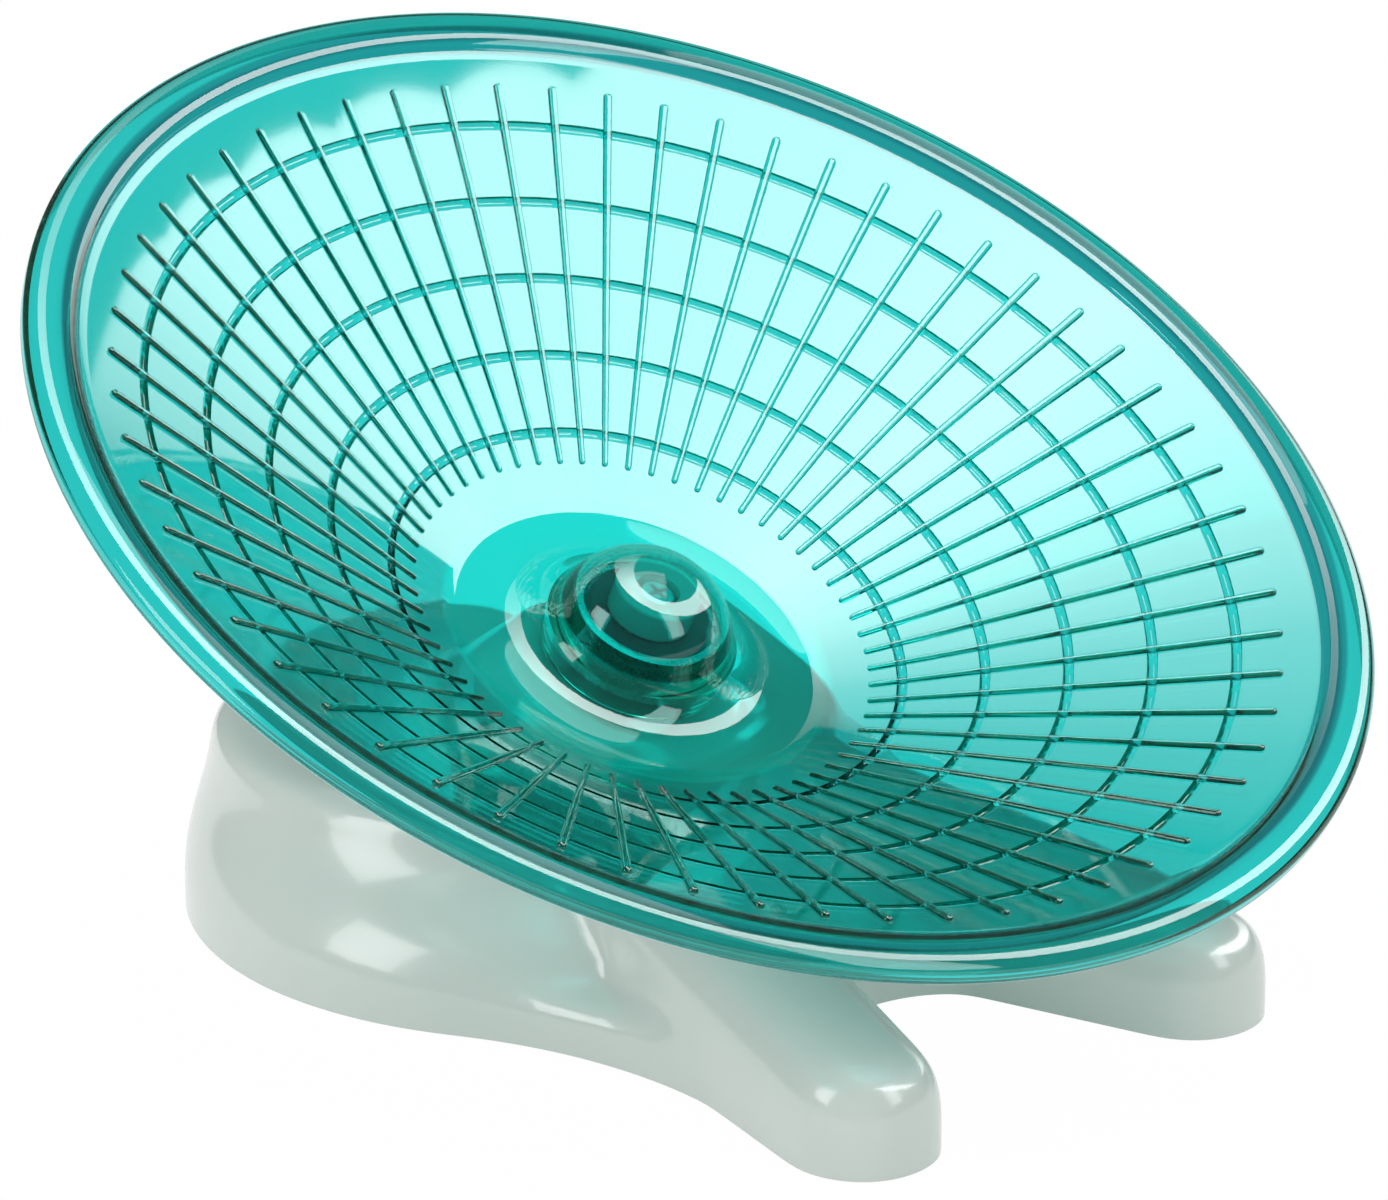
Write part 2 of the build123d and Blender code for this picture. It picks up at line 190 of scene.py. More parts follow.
def on_dish(radius):
    """The point of the running surface at a radius from the axis."""
    return JUNCTION - ALONG * ((JUNCTION.x - radius) / ALONG.x)


print("slope from", [round(v, 1) for v in on_dish(30.0)], "to", [round(v, 1) for v in JUNCTION])

# %% [markdown]
# In the middle a dome covers the bearing, and a round valley leads from it out to the slope. Five
# low rings stand on the slope. Each ring is a small arc in the section, so it is spun with the
# rest and needs no Boolean. The valley touches the dome and the slope without a corner: its centre
# lies one valley radius from both.

# %% Dome, valley and rings
DOME_R, DOME_WALL, VALLEY_R = 14.0, 1.6, 11.0
DOME_CENTRE = Vector((0.0, -34.7))
DOME_POINTS, VALLEY_POINTS, RING_POINTS = 16, 16, 9
RING_COUNT, RING_OUTER_R, RING_PITCH = 5, 81.3, 10.65
RING_WIDTH, RING_HEIGHT = 1.6, 0.65
PLAIN_R, PLAIN_END_R = 87.0, 90.6

valley = line_meets_circle(JUNCTION + NORMAL * VALLEY_R, -ALONG, DOME_CENTRE, DOME_R + VALLEY_R)


def ring_bump(crest):
    """A low round bump of the profile that stands out along the normal."""
    half = RING_WIDTH / 2
    radius = (half**2 + RING_HEIGHT**2) / (2 * RING_HEIGHT)
    centre = crest + NORMAL * (RING_HEIGHT - radius)
    start = angle_of(crest - ALONG * half - centre)
    end = angle_of(crest + ALONG * half - centre)
    return arc_points(centre, radius, start, end, RING_POINTS)


def upper_side():
    lean = angle_of(valley - DOME_CENTRE)
    points = arc_points(DOME_CENTRE, DOME_R, math.pi / 2, lean, DOME_POINTS)
    points += arc_points(valley, VALLEY_R, lean - math.pi, angle_of(-NORMAL), VALLEY_POINTS)[1:]
    for index in reversed(range(RING_COUNT)):
        points += ring_bump(on_dish(RING_OUTER_R - index * RING_PITCH))
    return points + [on_dish(PLAIN_R), on_dish(PLAIN_END_R)]


print("upper side", len(upper_side()), "points, valley at", [round(v, 2) for v in valley])

# %% [markdown]
# The rim is rolled over, which stiffens it and spares the animal an edge. It is a bend, a tighter
# shoulder and a round lip, hollow beneath. A swept tube would look like a separate ring. As part
# of the section, its outer and inner arcs share a centre, and so keep the wall even.

# %% Rolled rim
BEND_R = 5.0
SHOULDER_R, SHOULDER_Z = 1.5, 0.47
LIP_R, LIP_Z = 0.8, -0.3
BEND_POINTS, SHOULDER_POINTS, LIP_POINTS, HOLLOW_POINTS = 18, 7, 12, 12


def rolled_rim():
    shoulder = Vector((DISH_R - SHOULDER_R, SHOULDER_Z))
    roll = circles_meet(shoulder, BEND_R - SHOULDER_R, JUNCTION, BEND_R, 1)
    roll_end = angle_of(shoulder - roll)
    points = arc_points(roll, BEND_R, angle_of(JUNCTION - roll), roll_end, BEND_POINTS)
    points += arc_points(shoulder, SHOULDER_R, roll_end, 0.0, SHOULDER_POINTS)[1:]
    points += arc_points(Vector((DISH_R - LIP_R, LIP_Z)), LIP_R, 0.0, -math.pi, LIP_POINTS)
    hollow_r = BEND_R - DISH_WALL
    inner_x = DISH_R - 2 * LIP_R - roll.x
    hollow_start = line_meets_circle(JUNCTION - NORMAL * DISH_WALL, ALONG, roll, hollow_r)
    hollow_angle = math.atan2(math.sqrt(hollow_r**2 - inner_x**2), inner_x)
    hollow_end = angle_of(hollow_start - roll)
    return points + arc_points(roll, hollow_r, hollow_angle, hollow_end, HOLLOW_POINTS)


print("rim", len(rolled_rim()), "points")

# %% [markdown]
# Below, the wall follows the slope and the valley, and ends in a round socket that is pressed over
# the bearing. The hollow of the dome closes the outline on the axis. The socket's lower edges are
# broken by a small bevel, written as two points each, since a sharp edge of clear plastic would
# show as a hard white line.

# %% Underside and socket
SOCKET_R, SOCKET_OUTER_R, SOCKET_BOTTOM, SOCKET_EDGE = 11.03, 13.23, -38.68, 0.4
UNDER_RADII = (75.0, 60.0, 45.0)
CAVITY_POINTS = 14


def underside():
    points = [on_dish(radius) - NORMAL * DISH_WALL for radius in UNDER_RADII]
    under_r = VALLEY_R + DISH_WALL
    groove = math.asin((SOCKET_OUTER_R - valley.x) / under_r)
    points += arc_points(valley, under_r, angle_of(-NORMAL), groove - math.pi / 2, VALLEY_POINTS)
    for radius, inward in ((SOCKET_OUTER_R, -SOCKET_EDGE), (SOCKET_R, SOCKET_EDGE)):
        edge = [Vector((radius, SOCKET_BOTTOM + SOCKET_EDGE)), Vector((radius + inward, SOCKET_BOTTOM))]
        points += edge if inward < 0 else reversed(edge)
    cavity_r = DOME_R - DOME_WALL
    cavity_start = math.atan2(math.sqrt(cavity_r**2 - SOCKET_R**2), SOCKET_R)
    return points + arc_points(DOME_CENTRE, cavity_r, cavity_start, math.pi / 2, CAVITY_POINTS)


section = upper_side() + rolled_rim() + underside()
print("dish section", len(section), "points")

# %% [markdown]
# The section becomes a solid by the Spin operator: the outline's points are joined to a wire in
# the XZ plane, and the wire is turned about Z in many steps. With use_merge the last step closes
# on the first. The many steps are for the picture's sake, because a coarse rim shows its corners
# in every reflection.

# %% Spin the section
SPIN_STEPS = 360
SAME_PLACE = 1e-6


def spun(points, steps):
    """Spin an outline whose first and last points lie on the axis into a closed solid."""
    bm = bmesh.new()
    verts = [bm.verts.new((p.x * MM, 0, p.y * MM)) for p in points]
    edges = [bm.edges.new(pair) for pair in zip(verts, verts[1:])]
    bmesh.ops.spin(
        bm, geom=verts + edges, cent=(0, 0, 0), axis=(0, 0, 1), angle=2 * math.pi,
        steps=steps, use_merge=True,
    )
    bmesh.ops.remove_doubles(bm, verts=bm.verts, dist=SAME_PLACE)
    return bm


dish = spun(section, SPIN_STEPS)
print("dish faces", len(dish.faces))

# %% [markdown]
# Sixty straight ribs run down the dish and give the animal's feet something to grip. Each is a
# half-round bar with a ball at its outer end. A bar could be a cylinder and two spheres, but one
# sphere is enough: its outer half is pulled away along Z, which stretches the middle to a bar, and
# is then swelled to the ball.

# %% One grip rib
RIB_R, RIB_TIP_R = 0.50, 0.72
RIB_SEGMENTS = 14
JUST_ABOVE = 1e-7


def bar_with_ball(bm, place, length):
    """A round bar along Z from the origin, with a ball at its far end."""
    made = bmesh.ops.create_uvsphere(
        bm, u_segments=RIB_SEGMENTS, v_segments=RIB_SEGMENTS, radius=RIB_R * MM
    )
    far = [v for v in made["verts"] if v.co.z > JUST_ABOVE]
    bmesh.ops.scale(bm, verts=far, vec=Vector((1, 1, 1)) * (RIB_TIP_R / RIB_R))
    bmesh.ops.translate(bm, verts=far, vec=(0, 0, length * MM))
    bmesh.ops.transform(bm, matrix=place, verts=made["verts"])


trial = bmesh.new()
bar_with_ball(trial, Matrix.Identity(4), 50.0)
print("one rib", len(trial.faces), "faces")
trial.free()

# %% [markdown]
# The ribs lie on the slope and are repeated round the axis. They are joined to the dish with one
# Boolean, so the light meets one skin and not a bar inside a bowl: where two skins of see-through
# plastic overlap, the renderer would draw both. The Exact solver leaves a few long thin faces, and
# a Weighted Normal modifier keeps them from bending the reflections.

# %% Ribs on the dish
RIB_COUNT = 60
RIB_OUTER_R, RIB_INNER_R = 86.6, 34.8
DISH_SMOOTH_ANGLE = 40.0


def grip_ribs():
    bm = bmesh.new()
    inner = on_dish(RIB_INNER_R)
    outer = on_dish(RIB_OUTER_R)
    lean = Matrix.Rotation(math.pi / 2 - SLOPE, 4, "Y")
    lay = Matrix.Translation((inner.x * MM, 0, inner.y * MM)) @ lean
    for index in range(RIB_COUNT):
        turn = Matrix.Rotation(2 * math.pi * index / RIB_COUNT, 4, "Z")
        bar_with_ball(bm, turn @ lay, (outer - inner).length)
    return bm


def joined(first, second):
    """The union of two closed bmeshes, by a Boolean modifier."""
    whole = loose_object("join_base", first)
    tool = loose_object("join_tool", second)
    join = whole.modifiers.new("join", "BOOLEAN")
    join.operation = "UNION"
    join.solver = "EXACT"
    join.object = tool
    bm = evaluated_bmesh(whole)
    bpy.data.objects.remove(tool)
    return bm


dish = joined(dish, grip_ribs())
bmesh.ops.transform(dish, matrix=TIP, verts=dish.verts)
dish_piece = piece_from("see_through_dish", dish, "disc", "dish_plastic", DISH_SMOOTH_ANGLE)
even = dish_piece.modifiers.new("even_normals", "WEIGHTED_NORMAL")
even.keep_sharp = True
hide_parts("running_disc")
print("dish with ribs", len(dish_piece.data.polygons), "faces")

# %% [markdown]
# The base is one soft shell: a round lobe behind, two legs in front with a web between them, and a
# leaning tower that carries the bearing. Its parts melt into each other. It could be modelled as
# one subdivided cage, but every change would then move its neighbours. It is made as plain
# overlapping bodies, which are blended at the end, as a model maker blends plaster. The first body
# is a low slab on the base's outline: circles for the lobe, the waist, the foot and the arch, each
# touching the next.

# %% Outline and slab of the base
LOBE_R, LOBE_Y = 56.2, 32.0
FOOT_R, FOOT_X, FOOT_Y = 11.0, 33.05, -62.6
WAIST_R, ARCH_R, ARCH_Y = 68.3, 19.0, -49.6
LOBE_POINTS, WAIST_POINTS, FOOT_POINTS, ARCH_POINTS = 40, 24, 24, 12
WEB_HEIGHT = 8.0
BASE_DROP = -8.0


def plan_outline():
    """Half of the base's outline from above, from the back round to the arch."""
    lobe, foot, arch = Vector((0, LOBE_Y)), Vector((FOOT_X, FOOT_Y)), Vector((0, ARCH_Y))
    waist = circles_meet(foot, FOOT_R + WAIST_R, lobe, LOBE_R + WAIST_R, -1)
    side = angle_of(foot - arch) + math.acos((FOOT_R + ARCH_R) / (foot - arch).length)
    waist_start = angle_of(lobe - waist) % (2 * math.pi)
    waist_end = angle_of(foot - waist) % (2 * math.pi)
    points = arc_points(lobe, LOBE_R, math.pi / 2, angle_of(waist - lobe), LOBE_POINTS)
    points += arc_points(waist, WAIST_R, waist_start, waist_end, WAIST_POINTS)[1:]
    points += arc_points(foot, FOOT_R, angle_of(waist - foot), side - math.pi, FOOT_POINTS)[1:]
    points += arc_points(arch, ARCH_R, side, math.pi / 2, ARCH_POINTS)
    return points


def slab(bm, points, low, high):
    """A closed slab on an outline."""
    face = bm.faces.new([bm.verts.new((p.x * MM, p.y * MM, low * MM)) for p in points])
    made = bmesh.ops.extrude_face_region(bm, geom=[face])
    top = [v for v in made["geom"] if isinstance(v, bmesh.types.BMVert)]
    bmesh.ops.translate(bm, verts=top, vec=(0, 0, (high - low) * MM))


bodies = bmesh.new()
half_outline = plan_outline()
mirror_half = [Vector((-p.x, p.y)) for p in reversed(half_outline[1:-1])]
slab(bodies, half_outline + mirror_half, BASE_DROP, WEB_HEIGHT)
print("outline", len(half_outline), "points a side")

# %% [markdown]
# The rear lobe has a steep wide skirt that sweeps in and up to a smaller round drum, and the drum
# sits further back than the skirt. It is a stack of circles joined by Bridge Loops. Two numbers
# per circle, how high and how far on the way in, draw its side, which is simpler to adjust than
# the handles of a curve.

# %% Rear lobe
DRUM_R, DRUM_Y, DRUM_HEIGHT = 46.5, 40.0, 27.0
LOBE_SIDE = (
    (-0.3, 0.0), (0.0, 0.0), (0.15, 0.02), (0.30, 0.06), (0.42, 0.16), (0.54, 0.40),
    (0.68, 0.72), (0.82, 0.93), (1.0, 1.0),
)
LOBE_SEGMENTS = 96


def rear_lobe(bm):
    """A stack of circles that sweeps from the wide skirt in and up to the drum."""
    rings = []
    for height_share, in_share in LOBE_SIDE:
        radius = LOBE_R + (DRUM_R - LOBE_R) * in_share
        y = LOBE_Y + (DRUM_Y - LOBE_Y) * in_share
        made = bmesh.ops.create_circle(bm, segments=LOBE_SEGMENTS, radius=radius * MM)
        bmesh.ops.translate(bm, verts=made["verts"], vec=(0, y * MM, DRUM_HEIGHT * height_share * MM))
        rings.append(made["verts"])
    for pair in zip(rings, rings[1:]):
        edges = [e for ring in pair for v in ring for e in v.link_edges if e.other_vert(v) in ring]
        bmesh.ops.bridge_loops(bm, edges=list(dict.fromkeys(edges)))
    bm.faces.new(rings[0])
    bm.faces.new(rings[-1])


rear_lobe(bodies)
bmesh.ops.recalc_face_normals(bodies, faces=bodies.faces)
print("with the lobe", len(bodies.faces), "faces")

# %% [markdown]
# The two legs run from under the tower to round feet. Each is a convex hull, the skin that a
# stretched film would make over a few circles. A loft needs its rings in order and evenly turned.
# A hull asks for neither, and a leg bulges outwards everywhere, so nothing is lost. The circles
# shrink towards the top, which rounds it.

# %% Legs
LEG_HEIGHT = 15.5
LEG_ROOT_R, LEG_ROOT_X, LEG_ROOT_Y, LEG_ROOT_HEIGHT = 12.5, 15.0, 4.0, 27.0
LEG_ROUND = ((1.0, None), (1.0, 7.5), (0.93, 3.8), (0.72, 1.2), (0.42, 0.0))
LEG_SEGMENTS = 32


def hull_over(bm, verts):
    """Skin the given vertices with their convex hull and drop what lies inside."""
    hull = bmesh.ops.convex_hull(bm, input=verts)
    bmesh.ops.delete(bm, geom=hull["geom_interior"] + hull["geom_unused"], context="VERTS")


def leg_body(bm, side):
    """A leg: the hull of a foot and a wider, higher root under the tower."""
    verts = []
    ends = (
        (FOOT_X, FOOT_Y, FOOT_R, LEG_HEIGHT),
        (LEG_ROOT_X, LEG_ROOT_Y, LEG_ROOT_R, LEG_ROOT_HEIGHT),
    )
    for x, y, radius, top in ends:
        for share, drop in LEG_ROUND:
            z = top - drop if drop is not None else BASE_DROP
            ring = bmesh.ops.create_circle(bm, segments=LEG_SEGMENTS, radius=radius * share * MM)
            bmesh.ops.translate(bm, verts=ring["verts"], vec=(x * side * MM, y * MM, z * MM))
            verts += ring["verts"]
    hull_over(bm, verts)


for side in (-1, 1):
    leg_body(bodies, side)
print("with the legs", len(bodies.faces), "faces")

# %% [markdown]
# The tower is a cone that starts upright on the drum and ends square to the tilted axis, right
# under the dish's socket. A plain cone can't do both, but a hull over a level circle and a tipped
# one can.

# %% Tower
TOWER_SEGMENTS = 48
TOWER_LOW_R, TOWER_LOW_Y, TOWER_LOW_HEIGHT = 34.0, 34.0, 22.0
TOWER_TOP_R, TOWER_GAP = 16.0, 1.0


def tower_body(bm):
    """The leaning cone between the drum and the bearing's seat."""
    low = bmesh.ops.create_circle(bm, segments=TOWER_SEGMENTS, radius=TOWER_LOW_R * MM)
    bmesh.ops.translate(bm, verts=low["verts"], vec=(0, TOWER_LOW_Y * MM, TOWER_LOW_HEIGHT * MM))
    high = bmesh.ops.create_circle(bm, segments=TOWER_SEGMENTS, radius=TOWER_TOP_R * MM)
    seat = TIP @ Matrix.Translation((0, 0, (SOCKET_BOTTOM - TOWER_GAP) * MM))
    bmesh.ops.transform(bm, matrix=seat, verts=high["verts"])
    hull_over(bm, low["verts"] + high["verts"])


tower_body(bodies)
print("all bodies", len(bodies.faces), "faces")

# %% [markdown]
# A Remesh lays one even skin over the overlapping bodies, and a Smooth rounds the places where
# they meet, which no bevel could follow. The bodies were made to reach below the table, so the
# Smooth doesn't round the lower edge: a flat cut takes that extra length off again, and the hole
# that it leaves is closed.

# %% Blend the bodies
VOXEL = 1.1
SMOOTH_FACTOR, SMOOTH_ROUNDS = 0.5, 45
BASE_FLOOR = 0.5


def blended(bm):
    """One skin over overlapping closed bodies, rounded where they meet."""
    rough = loose_object("rough_base", bm)
    skin = rough.modifiers.new("skin", "REMESH")
    skin.mode = "VOXEL"
    skin.voxel_size = VOXEL * MM
    soften = rough.modifiers.new("soften", "SMOOTH")
    soften.factor = SMOOTH_FACTOR
    soften.iterations = SMOOTH_ROUNDS
    return evaluated_bmesh(rough)


base = blended(bodies)
bmesh.ops.bisect_plane(
    base, geom=base.verts[:] + base.edges[:] + base.faces[:],
    plane_co=(0, 0, BASE_FLOOR * MM), plane_no=(0, 0, -1), clear_outer=True,
)
bmesh.ops.holes_fill(base, edges=[e for e in base.edges if e.is_boundary])
print("blended base", len(base.faces), "faces")

# %% [markdown]
# On top of the tower a short post carries the bearing: a shoulder that the spacer rests on, and a
# thinner stub that goes through the bearing's bore. Both are cylinders on the tilted axis, added
# after the blending, because a Smooth would melt such small crisp parts away.

# %% Seat of the bearing
SEAT_BOTTOM, SEAT_TOP, STUB_TOP = -46.0, -36.58, -29.5
SEAT_R, STUB_R = 5.6, 3.98
SEAT_SEGMENTS = 48
BASE_SMOOTH_ANGLE = 60.0

for radius, low, high in ((SEAT_R, SEAT_BOTTOM, SEAT_TOP), (STUB_R, SEAT_TOP, STUB_TOP)):
    bmesh.ops.create_cone(
        base, cap_ends=True, segments=SEAT_SEGMENTS, radius1=radius * MM, radius2=radius * MM,
        depth=(high - low) * MM, matrix=TIP @ Matrix.Translation((0, 0, (low + high) / 2 * MM)),
    )
base_piece = piece_from("milky_base", base, "base", "base_plastic", BASE_SMOOTH_ANGLE)
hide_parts("base_shell")
print("base", len(base_piece.data.polygons), "faces")

# %% [markdown]
# Every finish is a small graph of nodes. Such a graph can be drawn by hand in the editor, but in
# a script a value that changes over a surface reads best as plain sums and products. The class
# below wraps a socket, and each sign adds one Math node.

# %% Sums and products of sockets
class Value:
    """A socket that can be added, subtracted and multiplied in Python."""

    def __init__(self, graph, socket):
        self.graph = graph
        self.socket = socket

    def __add__(self, other):
        return self.graph.maths("ADD", self, other)

    def __radd__(self, other):
        return self.graph.maths("ADD", other, self)

    def __sub__(self, other):
        return self.graph.maths("SUBTRACT", self, other)

    def __rsub__(self, other):
        return self.graph.maths("SUBTRACT", other, self)

    def __mul__(self, other):
        return self.graph.maths("MULTIPLY", self, other)

    def __rmul__(self, other):
        return self.graph.maths("MULTIPLY", other, self)


class Made:
    """A node whose outputs are read by name or number, as values."""

    def __init__(self, graph, made):
        self.graph = graph
        self.made = made

    def __getitem__(self, name):
        return Value(self.graph, self.made.outputs[name])


print("signs", [sign for sign in ("add", "sub", "mul") if hasattr(Value, f"__{sign}__")])

# %% [markdown]
# The rest of a graph comes from one method, which takes a node's type, its settings and its
# sockets. The patterns that this object needs get short names: a noise in the object's own
# coordinates, a soft step, a mix of two colours and a bump. Object coordinates stay with the piece
# when it turns, so a pattern doesn't swim over the dish as it spins.

# %% Graph of nodes
STEP_SHAPE = {"interpolation_type": "SMOOTHSTEP"}
NOISE_ROUGHNESS = 0.5
MIX_FACTOR, MIX_FIRST, MIX_SECOND, MIX_RESULT = 0, 6, 7, 2


class Graph:
    """The node tree of a new material or world."""

    def __init__(self, owner):
        self.owner = owner
        owner.use_nodes = True
        self.tree = owner.node_tree
        self.tree.nodes.clear()

    def node(self, kind, settings=None, inputs=None):
        made = self.tree.nodes.new(kind)
        for key, value in (settings or {}).items():
            setattr(made, key, value)
        for key, value in (inputs or {}).items():
            if isinstance(value, Value):
                self.tree.links.new(value.socket, made.inputs[key])
            else:
                made.inputs[key].default_value = value
        return Made(self, made)

    def maths(self, operation, a, b, clamp=False):
        settings = {"operation": operation, "use_clamp": clamp}
        return self.node("ShaderNodeMath", settings, {0: a, 1: b})["Value"]

    def vector_maths(self, operation, a, b, output="Vector"):
        inputs = {0: a} if b is None else {0: a, 1: b}
        return self.node("ShaderNodeVectorMath", {"operation": operation}, inputs)[output]

    def place(self):
        return self.node("ShaderNodeTexCoord")["Object"]

    def noise(self, scale, detail):
        inputs = {"Scale": scale, "Detail": detail, "Roughness": NOISE_ROUGHNESS}
        return self.node("ShaderNodeTexNoise", {}, {"Vector": self.place(), **inputs})["Fac"]

    def step(self, value, middle, half):
        """A soft step from 0 to 1 round a size in millimetres."""
        inputs = {"Value": value, "From Min": (middle - half) * MM, "From Max": (middle + half) * MM}
        return self.node("ShaderNodeMapRange", STEP_SHAPE, inputs)["Result"]

    def mixed(self, factor, first, second):
        inputs = {MIX_FACTOR: factor, MIX_FIRST: first, MIX_SECOND: second}
        return self.node("ShaderNodeMix", {"data_type": "RGBA"}, inputs)[MIX_RESULT]

    def bump(self, height, strength, distance):
        inputs = {"Height": height, "Strength": strength, "Distance": distance}
        return self.node("ShaderNodeBump", {}, inputs)["Normal"]

    def either(self, factor, first, second):
        return self.node("ShaderNodeMixShader", {}, {0: factor, 1: first, 2: second})["Shader"]

    def finish(self, surface, volume=None, output="ShaderNodeOutputMaterial"):
        out = self.tree.nodes.new(output)
        self.tree.links.new(surface.socket, out.inputs["Surface"])
        if volume is not None:
            self.tree.links.new(volume.socket, out.inputs["Volume"])
        return self.owner


def material_graph(name):
    return Graph(bpy.data.materials.new(name))


def coat(piece, material):
    """Give a whole piece or CAD node one material."""
    piece.data.materials.clear()
    piece.data.materials.append(material)


print("graph methods", [name for name in vars(Graph) if not name.startswith("_")])

# %% [markdown]
# The dish is clear plastic with dye in it. A tint on the surface gives most of the turquoise, and
# a thin dye in the volume adds what depends on depth: it deepens where light runs along the wall,
# as it does in the ribs and at edges. Two places get painted shade in the tint: round the hub,
# where the base lies in the dish's shade behind the plastic, and a dark line where the rim begins
# to roll. A painted mask could mark both places. Here they are picked out by their distance from
# the axis, a length that a cross product gives and that stays true however the dish turns.

# %% Tints and painted shade of the dish
DYE = (0.8, 0.968, 0.957, 1.0)
DYE_DENSITY = 1500.0
WALL_TINT = (0.04, 0.65, 0.64, 1.0)
# Painted shade: inside the hub the tint is deeper, for the shaded base seen through the dish.
HUB_SHADE_TINT = (0.02, 0.84, 0.79, 1.0)
# Painted shade: a dark line on the bend where the rim begins to roll.
ROLL_SHADE_TINT = (0.01, 0.20, 0.23, 1.0)
HUB_SHADE_R, HUB_SHADE_EDGE = 29.6, 0.5
ROLL_SHADE_R, ROLL_SHADE_HALF, ROLL_SHADE_EDGE = 93.9, 1.1, 0.35


def dish_tint_and_shade(graph):
    """The dish's skin colour: painted shade round the hub, plain wall, painted dark line at the roll.
    """
    from_axis = graph.vector_maths("SUBTRACT", graph.place(), (0, 0, RIM_PLANE_Z))
    across = graph.vector_maths("CROSS_PRODUCT", from_axis, AXIS)
    radius = graph.vector_maths("LENGTH", across, None, "Value")
    outside = graph.step(radius, HUB_SHADE_R, HUB_SHADE_EDGE)
    line_in = graph.step(radius, ROLL_SHADE_R - ROLL_SHADE_HALF, ROLL_SHADE_EDGE)
    line_out = graph.step(radius, ROLL_SHADE_R + ROLL_SHADE_HALF, ROLL_SHADE_EDGE)
    # Painted shade round the hub inside its radius, the plain wall tint outside.
    wall = graph.mixed(outside, HUB_SHADE_TINT, WALL_TINT)
    # Painted shade: the dark line at the roll, laid over the wall tint.
    return graph.mixed(line_in * (1.0 - line_out), wall, ROLL_SHADE_TINT)


print("wall tint", WALL_TINT[:3], "deeper inside", HUB_SHADE_R, "mm")

# %% [markdown]
# Lamps would throw a black shadow through glass, because the renderer follows no lamp through a
# bend. So a ray that only asks how much light arrives, a shadow ray or one from a dull surface,
# meets a tinted clear film instead, and the base under the dish stays lit. Inside the plastic
# light bounces many times between the two faces, and with Blender's usual limit those places turn
# black, so the limit is raised.

# %% Dish plastic
LIGHT_BOUNCES = 24
FILM_TINT = (0.82, 0.74, 0.73, 1.0)
PLASTIC_IOR = 1.53
GLOSS, HAZE = 0.02, 0.03
HAZE_SCALE, HAZE_DETAIL = 55.0, 4.0

light_paths = bpy.context.scene.cycles
light_paths.max_bounces = LIGHT_BOUNCES
light_paths.glossy_bounces = LIGHT_BOUNCES
light_paths.transmission_bounces = LIGHT_BOUNCES


def dish_plastic():
    graph = material_graph("dish_plastic")
    glass = graph.node(
        "ShaderNodeBsdfPrincipled", {},
        {
            "Base Color": dish_tint_and_shade(graph),
            "Roughness": GLOSS + HAZE * graph.noise(HAZE_SCALE, HAZE_DETAIL),
            "IOR": PLASTIC_IOR,
            "Transmission Weight": 1.0,
        },
    )["BSDF"]
    film = graph.node("ShaderNodeBsdfTransparent", {}, {"Color": FILM_TINT})["BSDF"]
    path = graph.node("ShaderNodeLightPath")
    soft_light = path["Is Shadow Ray"] + path["Is Diffuse Ray"]
    dye = graph.node("ShaderNodeVolumeAbsorption", {}, {"Color": DYE, "Density": DYE_DENSITY})["Volume"]
    return graph.finish(graph.either(soft_light, glass, film), dye)


coat(dish_piece, dish_plastic())
print("dish plastic", len(dish_piece.data.materials[0].node_tree.nodes), "nodes")

# %% [markdown]
# The base is milky plastic: white with a breath of green, very smooth, with cloudy flow marks from
# the mould. Real milky plastic lets light in a little way, and subsurface scattering would copy
# that, but under this even light it only costs time. Two near whites mixed by a wide noise, under
# a thin coat, give the same soft look.

# %% Base plastic
MILK_LIGHT = (0.66, 0.70, 0.655, 1.0)
MILK_DARK = (0.58, 0.64, 0.60, 1.0)
CLOUD_SCALE, CLOUD_DETAIL = 22.0, 3.0
PORE_SCALE, PORE_DETAIL, PORE_STRENGTH = 900.0, 2.0, 0.06
PORE_DEPTH = 0.0001
MILK_GLOSS, MILK_HAZE, MILK_IOR = 0.16, 0.08, 1.5
COAT, COAT_GLOSS = 0.3, 0.05


def milky_plastic(name):
    graph = material_graph(name)
    cloud = graph.noise(CLOUD_SCALE, CLOUD_DETAIL)
    pores = graph.noise(PORE_SCALE, PORE_DETAIL)
    shell = graph.node(
        "ShaderNodeBsdfPrincipled", {},
        {
            "Base Color": graph.mixed(cloud, MILK_DARK, MILK_LIGHT),
            "Roughness": MILK_GLOSS + MILK_HAZE * cloud,
            "IOR": MILK_IOR,
            "Normal": graph.bump(pores, PORE_STRENGTH, PORE_DEPTH),
            "Coat Weight": COAT,
            "Coat Roughness": COAT_GLOSS,
        },
    )["BSDF"]
    return graph.finish(shell)


coat(base_piece, milky_plastic("base_plastic"))
coat(nodes["retaining_cap"], milky_plastic("cap_plastic"))
print("milky", base_piece.name, "and retaining_cap")

# %% [markdown]
# Inside the hub sit the bearing and its screw. They are small and seen through coloured plastic,
# so each needs only its own steel. Every metal here is the same graph with another colour, polish
# and size of grain: ground races, mirror-like balls, a dull pressed cage and a zinc plated screw.
# Full modelled tool marks would be lost behind the dome.

# %% Metals
METALS = (
    # name, colour, roughness, scale of the grain, nodes
    ("race_steel", (0.52, 0.53, 0.54), 0.22, 900.0,
     ("bearing_outer_race", "bearing_inner_race", "spacer_washer")),
    ("ball_steel", (0.74, 0.75, 0.76), 0.06, 500.0, ("bearing_balls",)),
    ("cage_steel", (0.55, 0.55, 0.53), 0.35, 700.0, ("cage_upper", "cage_lower", "cage_rivets")),
    ("zinc_steel", (0.72, 0.73, 0.74), 0.18, 1200.0, ("cap_screw",)),
)
MARK_SHADE, MARK_ROUGHNESS, MARK_DETAIL = 0.8, 0.12, 4.0


def shaded(colour, shade):
    return [channel * shade for channel in colour] + [1.0]


